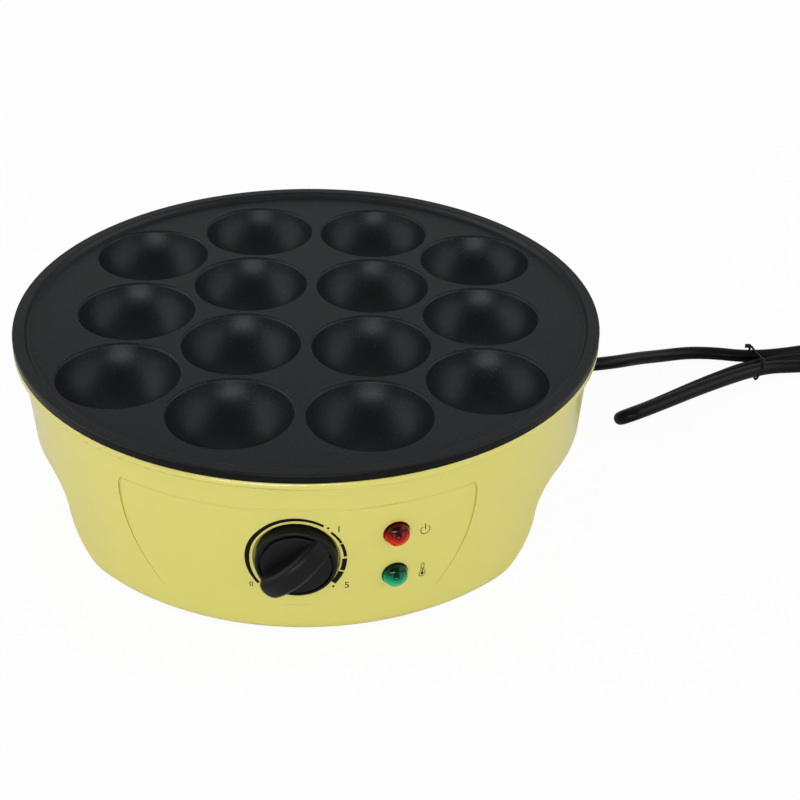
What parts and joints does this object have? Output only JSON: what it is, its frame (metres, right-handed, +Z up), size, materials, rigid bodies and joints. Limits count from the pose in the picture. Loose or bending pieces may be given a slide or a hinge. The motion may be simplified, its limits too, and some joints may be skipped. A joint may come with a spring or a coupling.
{
  "type": "takoyaki maker",
  "caption": "Round countertop takoyaki maker: coated plate with half-ball cups on a tapered shell, thermostat dial, red and green lamps, hand grips and a tied mains cord.",
  "frame": {"origin": "on the worktop under the middle of the appliance's bounding box, measured over the shell's lip and the dial knob and without the cord, its tie and its plug", "axes": "+Z up, -Y out of the front with the dial, +X to the right as seen from the front, where the cord leaves"},
  "size_m": [0.5712, 0.2826, 0.0829],
  "materials": {
    "coated_plate": "satin non-stick coating with fine sparkle",
    "shell_plastic": "glossy yellow",
    "base_plastic": "matte black",
    "foot_rubber": "matte black",
    "knob_plastic": "satin black",
    "spring_steel": "bare",
    "zinc_steel": "zinc plated",
    "element_sheath": "heat-tinted",
    "reflector_steel": "aluminised sheet",
    "ceramic": "unglazed ceramic",
    "thermostat_case": "moulded",
    "brass_tabs": "bare",
    "red_lens": "clear red",
    "green_lens": "clear green",
    "lamp_sleeve": "white",
    "cord_rubber": "semi-gloss black",
    "tie_wire": "coated wire",
    "plug_pin_metal": "nickel plated",
    "lead_sleeve": "silicone and glass braid"
  },
  "bodies": {
    "appliance": {"cooking_plate": "coated_plate", "heating_element": "element_sheath", "element_straps": "zinc_steel", "reflector_spacers": "zinc_steel", "plate_screws": "zinc_steel", "heat_reflector": "reflector_steel", "element_beads": "ceramic", "tie_rods": "zinc_steel", "rod_screws": "zinc_steel", "housing_shell": "shell_plastic", "base_cover": "base_plastic", "base_screws": "zinc_steel", "rubber_feet": "foot_rubber", "thermostat_bracket": "zinc_steel", "thermostat_body": "thermostat_case", "thermostat_screws": "zinc_steel", "thermostat_tabs": "brass_tabs", "ready_lamp_lens": "green_lens", "ready_lamp_tube": "lamp_sleeve", "power_lamp_lens": "red_lens", "power_lamp_tube": "lamp_sleeve", "cord_strain_relief": "cord_rubber", "power_cord_run": "cord_rubber", "power_cord_tail": "cord_rubber", "power_cord_hank": "cord_rubber", "cord_tie": "tie_wire", "plug_body": "cord_rubber", "plug_pins": "plug_pin_metal", "terminal_block": "thermostat_case", "terminal_screws": "brass_tabs", "cord_clamp": "base_plastic", "inner_cord": "cord_rubber", "internal_leads": "lead_sleeve"},
    "dial": {"control_knob": "knob_plastic", "thermostat_shaft": "zinc_steel", "knob_clip": "spring_steel"}
  },
  "joints": [
    {"name": "knob_turn", "type": "hinge", "parent": "appliance", "child": "dial", "pos_m": [0, -0.11671, 0.0396], "axis": [0, 0.9996, 0.0297], "range_deg": [0, 270]}
  ]
}
